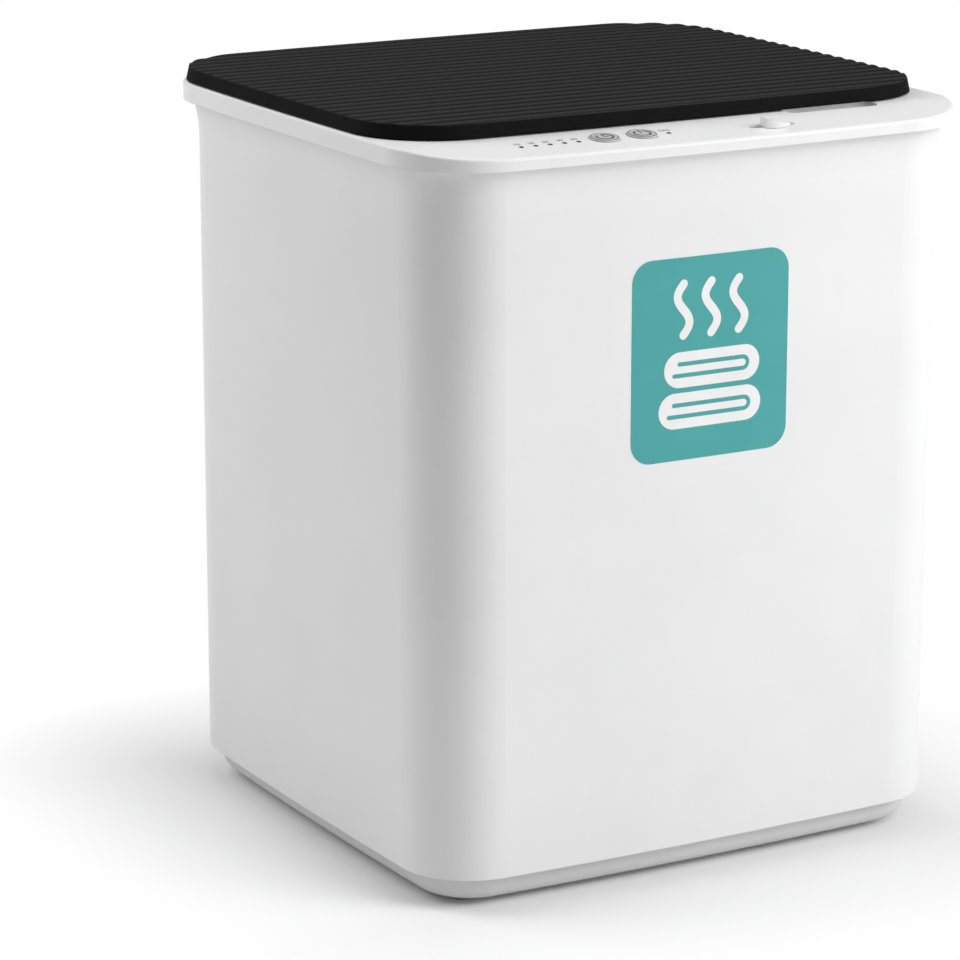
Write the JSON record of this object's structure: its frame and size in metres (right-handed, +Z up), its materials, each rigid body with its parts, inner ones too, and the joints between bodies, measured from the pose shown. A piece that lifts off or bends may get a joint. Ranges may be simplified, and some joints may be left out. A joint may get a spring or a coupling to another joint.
{
  "type": "towel warmer",
  "caption": "Bucket towel warmer: tall bowed housing, hung metal bucket, ribbed hinged lid, sloped control strip with push buttons and a lid lock slider.",
  "frame": {"origin": "centre of the footprint on the surface that the feet stand on", "axes": "+Z up, -Y towards the user (the control strip), +X to the right seen from the front"},
  "size_m": [0.332, 0.317, 0.4],
  "materials": {
    "housing_white": "satin moulded",
    "deck_white": "satin moulded",
    "base_grey": "satin moulded",
    "lid_black": "satin moulded, ribbed",
    "liner_grey": "matte moulded",
    "bucket_aluminium": "satin anodised",
    "heater_film": "matte",
    "felt": "matte felt",
    "foam": "matte foam",
    "silicone": "matte",
    "foot_rubber": "matte",
    "steel": "plated",
    "board_green": "solder mask",
    "switch_black": "matte",
    "sensor": "matte",
    "terminal": "matte",
    "button_grey": "satin",
    "lens": "gloss",
    "gland_black": "matte"
  },
  "bodies": {
    "housing": {"outer_shell": "housing_white", "top_deck": "deck_white", "base_tray": "base_grey", "rubber_feet": "foot_rubber", "base_screws": "steel", "deck_screws": "steel", "inner_bucket": "bucket_aluminium", "heating_film": "heater_film", "insulation_sleeve": "felt", "thermostat": "sensor", "thermal_fuse": "sensor", "power_board": "board_green", "terminal_block": "terminal", "cord_gland": "gland_black", "control_board": "board_green", "tact_switches": "switch_black", "led_lenses": "lens", "board_screws": "steel", "hinge_pins": "steel"},
    "lid": {"lid_cover": "lid_black", "lid_liner": "liner_grey", "lid_insulation": "foam", "lid_gasket": "silicone", "lid_catch": "steel", "lid_screws": "steel"},
    "slider": {"lock_slider": "deck_white", "lock_tongue": "steel", "lock_screw": "steel"},
    "timer_key": {"timer_button": "button_grey", "timer_plunger": "switch_black"},
    "power_key": {"power_button": "button_grey", "power_plunger": "switch_black"}
  },
  "joints": [
    {"name": "lid_hinge", "type": "hinge", "parent": "housing", "child": "lid", "pos_m": [0, 0.1538, 0.3942], "axis": [-1, 0, 0], "range_deg": [0, 95]},
    {"name": "timer_press", "type": "slide", "parent": "housing", "child": "timer_key", "axis": [0, 0.1011, -0.9949], "range_m": [0, 0.0008], "stiffness_N_per_m": 1200, "springref_m": -0.0004},
    {"name": "power_press", "type": "slide", "parent": "housing", "child": "power_key", "axis": [0, 0.1011, -0.9949], "range_m": [0, 0.0008], "stiffness_N_per_m": 1200, "springref_m": -0.0004},
    {"name": "lock_slide", "type": "slide", "parent": "housing", "child": "slider", "axis": [-1, 0, 0], "range_m": [0, 0.012]}
  ]
}
